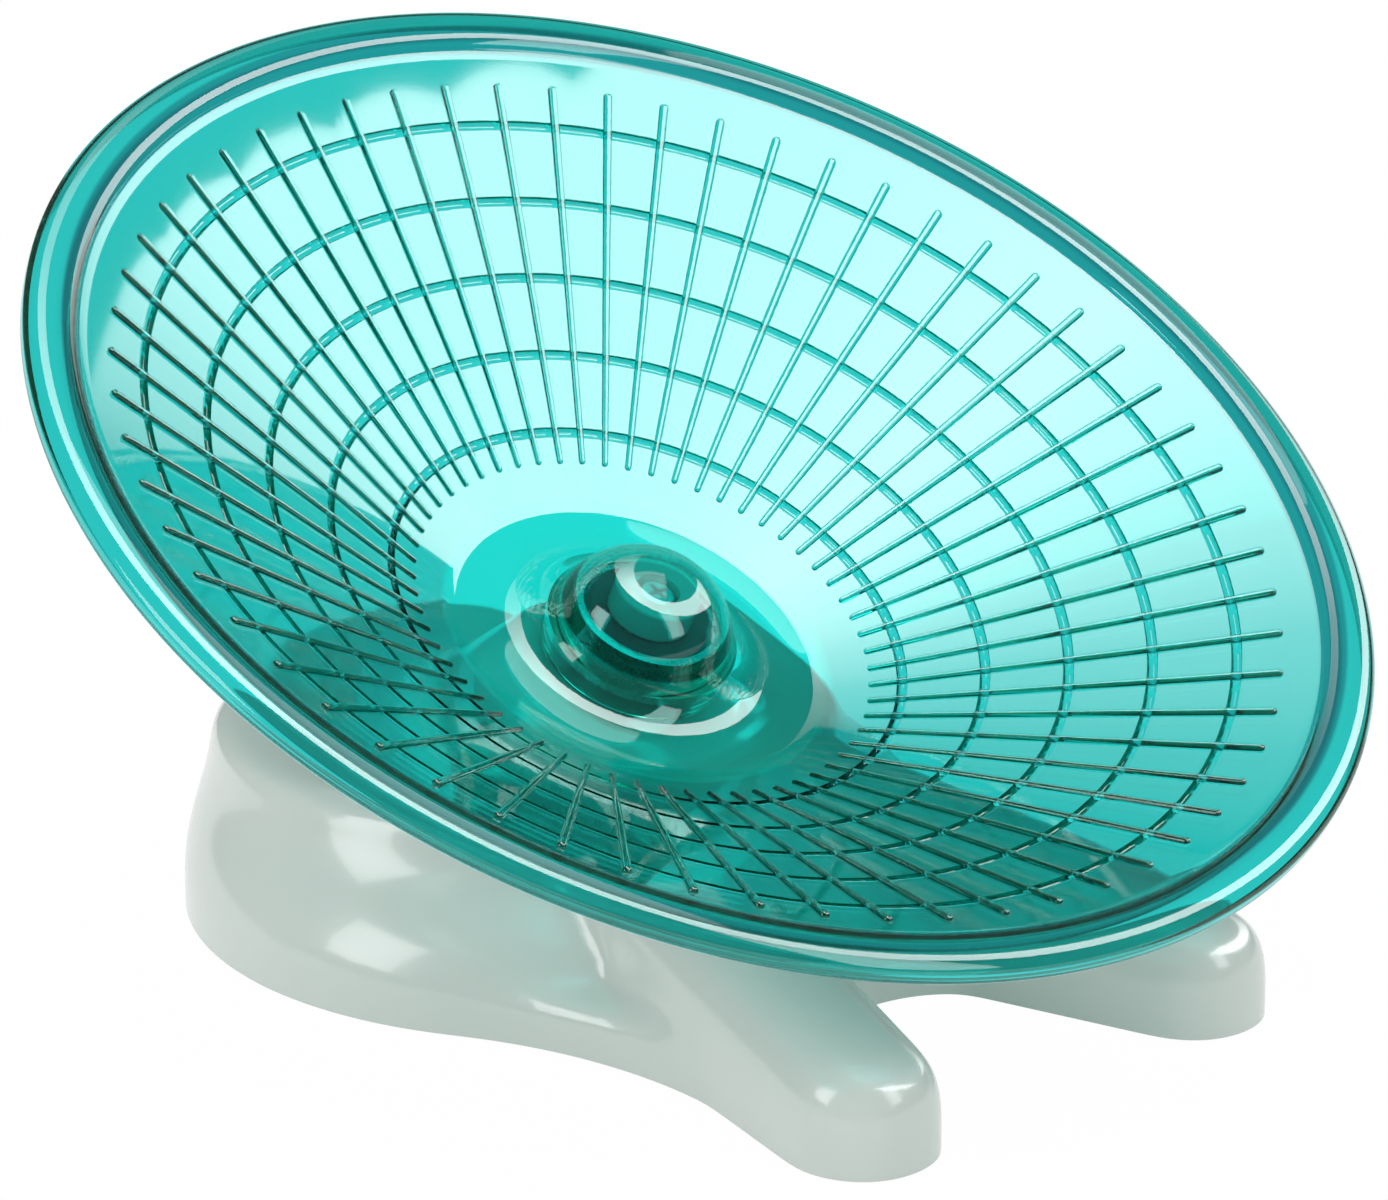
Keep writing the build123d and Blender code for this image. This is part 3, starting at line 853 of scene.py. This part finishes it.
def metal(name, colour, roughness, grain):
    graph = material_graph(name)
    marks = graph.noise(grain, MARK_DETAIL)
    steel = graph.node(
        "ShaderNodeBsdfPrincipled", {},
        {
            "Base Color": graph.mixed(marks, shaded(colour, MARK_SHADE), shaded(colour, 1.0)),
            "Roughness": roughness + MARK_ROUGHNESS * marks,
            "Metallic": 1.0,
        },
    )["BSDF"]
    return graph.finish(steel)


for name, colour, roughness, grain, node_names in METALS:
    steel = metal(name, colour, roughness, grain)
    for node_name in node_names:
        coat(nodes[node_name], steel)
    print(name, "on", node_names)

# %% [markdown]
# The bearing's seals are black rubber and the pads under the base are soft grey rubber. Rubber is
# dull with a fine grain, so one noise drives its colour, its roughness and a shallow bump. A
# picture of rubber would need an image file. A noise needs none and has no seam.

# %% Rubbers
RUBBERS = (
    ("seal_rubber", (0.020, 0.022, 0.024), ("seal_upper", "seal_lower")),
    ("pad_rubber", (0.32, 0.33, 0.33), ("foot_pads",)),
)
GRAIN_SHADE, GRAIN_SCALE, GRAIN_DETAIL = 0.7, 1600.0, 3.0
GRAIN_STRENGTH, GRAIN_DEPTH = 0.2, 0.0001
RUBBER_GLOSS, RUBBER_HAZE = 0.45, 0.2


def rubber(name, colour):
    graph = material_graph(name)
    grain = graph.noise(GRAIN_SCALE, GRAIN_DETAIL)
    skin = graph.node(
        "ShaderNodeBsdfPrincipled", {},
        {
            "Base Color": graph.mixed(grain, shaded(colour, GRAIN_SHADE), shaded(colour, 1.0)),
            "Roughness": RUBBER_GLOSS + RUBBER_HAZE * grain,
            "Normal": graph.bump(grain, GRAIN_STRENGTH, GRAIN_DEPTH),
        },
    )["BSDF"]
    return graph.finish(skin)


for name, colour, node_names in RUBBERS:
    skin = rubber(name, colour)
    for node_name in node_names:
        coat(nodes[node_name], skin)
    print(name, "on", node_names)

# %% [markdown]
# The set is a white table in a pale room. A white table could be had by turning the lamps up, but
# that would burn out the base. So the table glows for rays that look at it, from the lens, by a
# reflection or through the dish, and is plain paint for the light that falls on it. A small part
# of the paint stays visible and holds a faint shadow.

# %% Table
TABLE_SIZE = 6.0
TABLE_GLOW = 0.985
PAINT_LOW, PAINT_HIGH = (0.80, 0.80, 0.80, 1.0), (0.82, 0.82, 0.82, 1.0)
WHITE = (1.0, 1.0, 1.0, 1.0)
PAINT_SCALE, PAINT_DETAIL = 3.0, 2.0
NO_DULL_BOUNCE = 0.5


def looked_through(graph, path):
    """1 for a ray that came through the dish straight from the lens or a mirror."""
    straight = graph.maths("LESS_THAN", path["Diffuse Depth"], NO_DULL_BOUNCE)
    return path["Is Transmission Ray"] * straight


def table_white():
    graph = material_graph("table_white")
    path = graph.node("ShaderNodeLightPath")
    seen = path["Is Camera Ray"] + path["Is Glossy Ray"] + looked_through(graph, path)
    colour = graph.mixed(graph.noise(PAINT_SCALE, PAINT_DETAIL), PAINT_LOW, PAINT_HIGH)
    paint = graph.node("ShaderNodeBsdfDiffuse", {}, {"Color": colour})["BSDF"]
    glow = graph.node("ShaderNodeEmission", {}, {"Color": WHITE, "Strength": 1.0})["Emission"]
    factor = graph.maths("MINIMUM", seen * TABLE_GLOW, TABLE_GLOW)
    return graph.finish(graph.either(factor, paint, glow))


table_bm = bmesh.new()
bmesh.ops.create_grid(table_bm, x_segments=4, y_segments=4, size=TABLE_SIZE / 2)
table = loose_object("table", table_bm)
coat(table, table_white())
print("table", TABLE_SIZE, "m wide")

# %% [markdown]
# The room gives an even, slightly cool light from all round. It looks pale to the lens and through
# the dish, like the table. To reflections it is nearly dark: a shiny object in an evenly white
# room looks like chalk, while in a dark one with a few lamps it shows crisp windows of light.

# %% Room
ROOM_COLOUR = (0.95, 0.98, 1.0, 1.0)
ROOM_GREY = (0.8, 0.8, 0.8, 1.0)
ROOM_LIGHT, ROOM_SEEN, ROOM_MIRRORED = 0.55, 1.0, 0.16


def room_world():
    graph = Graph(bpy.data.worlds.new("room"))
    path = graph.node("ShaderNodeLightPath")
    seen = graph.maths("ADD", path["Is Camera Ray"], looked_through(graph, path), clamp=True)
    kinds = ((ROOM_COLOUR, ROOM_LIGHT), (ROOM_GREY, ROOM_SEEN), (ROOM_GREY, ROOM_MIRRORED))
    light, white, dark = (
        graph.node("ShaderNodeBackground", {}, {"Color": colour, "Strength": strength})["Background"]
        for colour, strength in kinds
    )
    still = graph.either(path["Is Glossy Ray"], light, dark)
    return graph.finish(graph.either(seen, still, white), output="ShaderNodeOutputWorld")


bpy.context.scene.world = room_world()
print("room light", ROOM_LIGHT)

# %% [markdown]
# Three softboxes light the object: one far to the left and a little behind, one in front, and a
# wide one above. Area lamps are used because a shiny moulding mirrors the lamp itself, and a
# rectangle leaves the windows of light that the base shows along its side. Point lamps would
# leave dots.

# %% Lamps
AIM = (0, 0, 0.05)
SOFTBOXES = (
    # name, azimuth, elevation, distance, width, height, watts
    ("left_box", -105, 30, 1.3, 0.5, 0.8, 6.0),
    ("front_box", 10, 35, 1.3, 0.4, 0.8, 4.0),
    ("top_box", 60, 80, 1.4, 0.9, 0.9, 6.0),
)


def toward(azimuth, elevation, distance):
    """A place seen from the object: azimuth 0 is the front, and grows to the right."""
    a, e = math.radians(azimuth), math.radians(elevation)
    return Vector((math.sin(a) * math.cos(e), -math.cos(a) * math.cos(e), math.sin(e))) * distance


def softbox(name, place, width, height, power):
    """A rectangular lamp at a place, facing the object, sizes in metres."""
    lamp = bpy.data.lights.new(name, "AREA")
    lamp.shape = "RECTANGLE"
    lamp.size = width
    lamp.size_y = height
    lamp.energy = power
    made = bpy.data.objects.new(name, lamp)
    made.location = place
    made.rotation_euler = (Vector(AIM) - place).to_track_quat("-Z", "Y").to_euler()
    bpy.context.scene.collection.objects.link(made)


for name, azimuth, elevation, distance, width, height, watts in SOFTBOXES:
    softbox(name, toward(azimuth, elevation, distance), width, height, watts)
    print(name, watts, "W")

# %% [markdown]
# The far half of the dish looks nearly white, and that white is a mirror image. A cone mirrors
# toward the lens along one curved line of the room only, so a bent strip of light hangs there. A
# huge softbox would reach the line too, but would whiten the base and the near wall with it. The
# line is worked out from the cone: for each turn round the wall, the view ray is mirrored in it.

# %% Where the wall mirrors the lens
STRIP_WALL_R = 62.0


def mirrored(turn):
    """Where the wall at a turn round the axis sends the view ray, as a direction."""
    a = math.radians(turn)
    wall = on_dish(STRIP_WALL_R) * MM
    place = TIP @ Vector((wall.x * math.cos(a), wall.x * math.sin(a), wall.y))
    upright = Vector((NORMAL.x * math.cos(a), NORMAL.x * math.sin(a), NORMAL.y))
    face = (TIP.to_3x3() @ upright).normalized()
    view = (place - CAMERA_PLACE).normalized()
    return view - 2 * view.dot(face) * face


print("far wall mirrors toward", [round(v, 2) for v in mirrored(90)])

# %% [markdown]
# The strip is a ribbon of a few faces along that line. How strongly it glows is written for each
# turn and kept in a colour attribute of its corners, so it fades out softly at both ends and the
# near wall stays deep. Only reflections see it: it lights nothing and throws no shadow. The round
# valley of the hub shows the same strip as a thin crescent.

# %% Strip of light
STRIP_DISTANCE, STRIP_HALF_WIDTH = 1.3, math.tan(math.radians(7.4))
STRIP_GLOW = (
    (-78, 0.0), (-60, 0.8), (-42, 2.7), (-27, 6.3), (-12, 10.2), (3, 12.6), (18, 12.2),
    (33, 11.1), (48, 10.6), (63, 10.1), (78, 10.0), (93, 9.0), (108, 8.2), (123, 6.2),
    (138, 3.5), (153, 1.5), (168, 0.0),
)
UNSEEN_BY = ("camera", "diffuse", "transmission", "volume_scatter", "shadow")


def light_strip():
    bm = bmesh.new()
    glow = bm.loops.layers.float_color.new("glow")
    rows = []
    for turn, strength in STRIP_GLOW:
        ahead = (mirrored(turn + 1) - mirrored(turn - 1)).normalized()
        middle = mirrored(turn)
        across = middle.cross(ahead).normalized() * STRIP_HALF_WIDTH
        row = [bm.verts.new((middle + across * side) * STRIP_DISTANCE) for side in (-1, 1)]
        rows.append((row, strength))
    for (low, low_glow), (high, high_glow) in zip(rows, rows[1:]):
        face = bm.faces.new([low[0], low[1], high[1], high[0]])
        for loop, strength in zip(face.loops, (low_glow, low_glow, high_glow, high_glow)):
            loop[glow] = (strength, strength, strength, 1.0)
    return loose_object("light_strip", bm)


def strip_glow():
    graph = material_graph("strip_glow")
    colour = graph.node("ShaderNodeAttribute", {"attribute_name": "glow"})["Color"]
    return graph.finish(graph.node("ShaderNodeEmission", {}, {"Color": colour})["Emission"])


strip = light_strip()
coat(strip, strip_glow())
for kind in UNSEEN_BY:
    setattr(strip, "visible_" + kind, False)
print("strip", len(strip.data.polygons), "faces")

# %% [markdown]
# A visible piece that stands past the construction would touch things before the motion model knows of
# it.
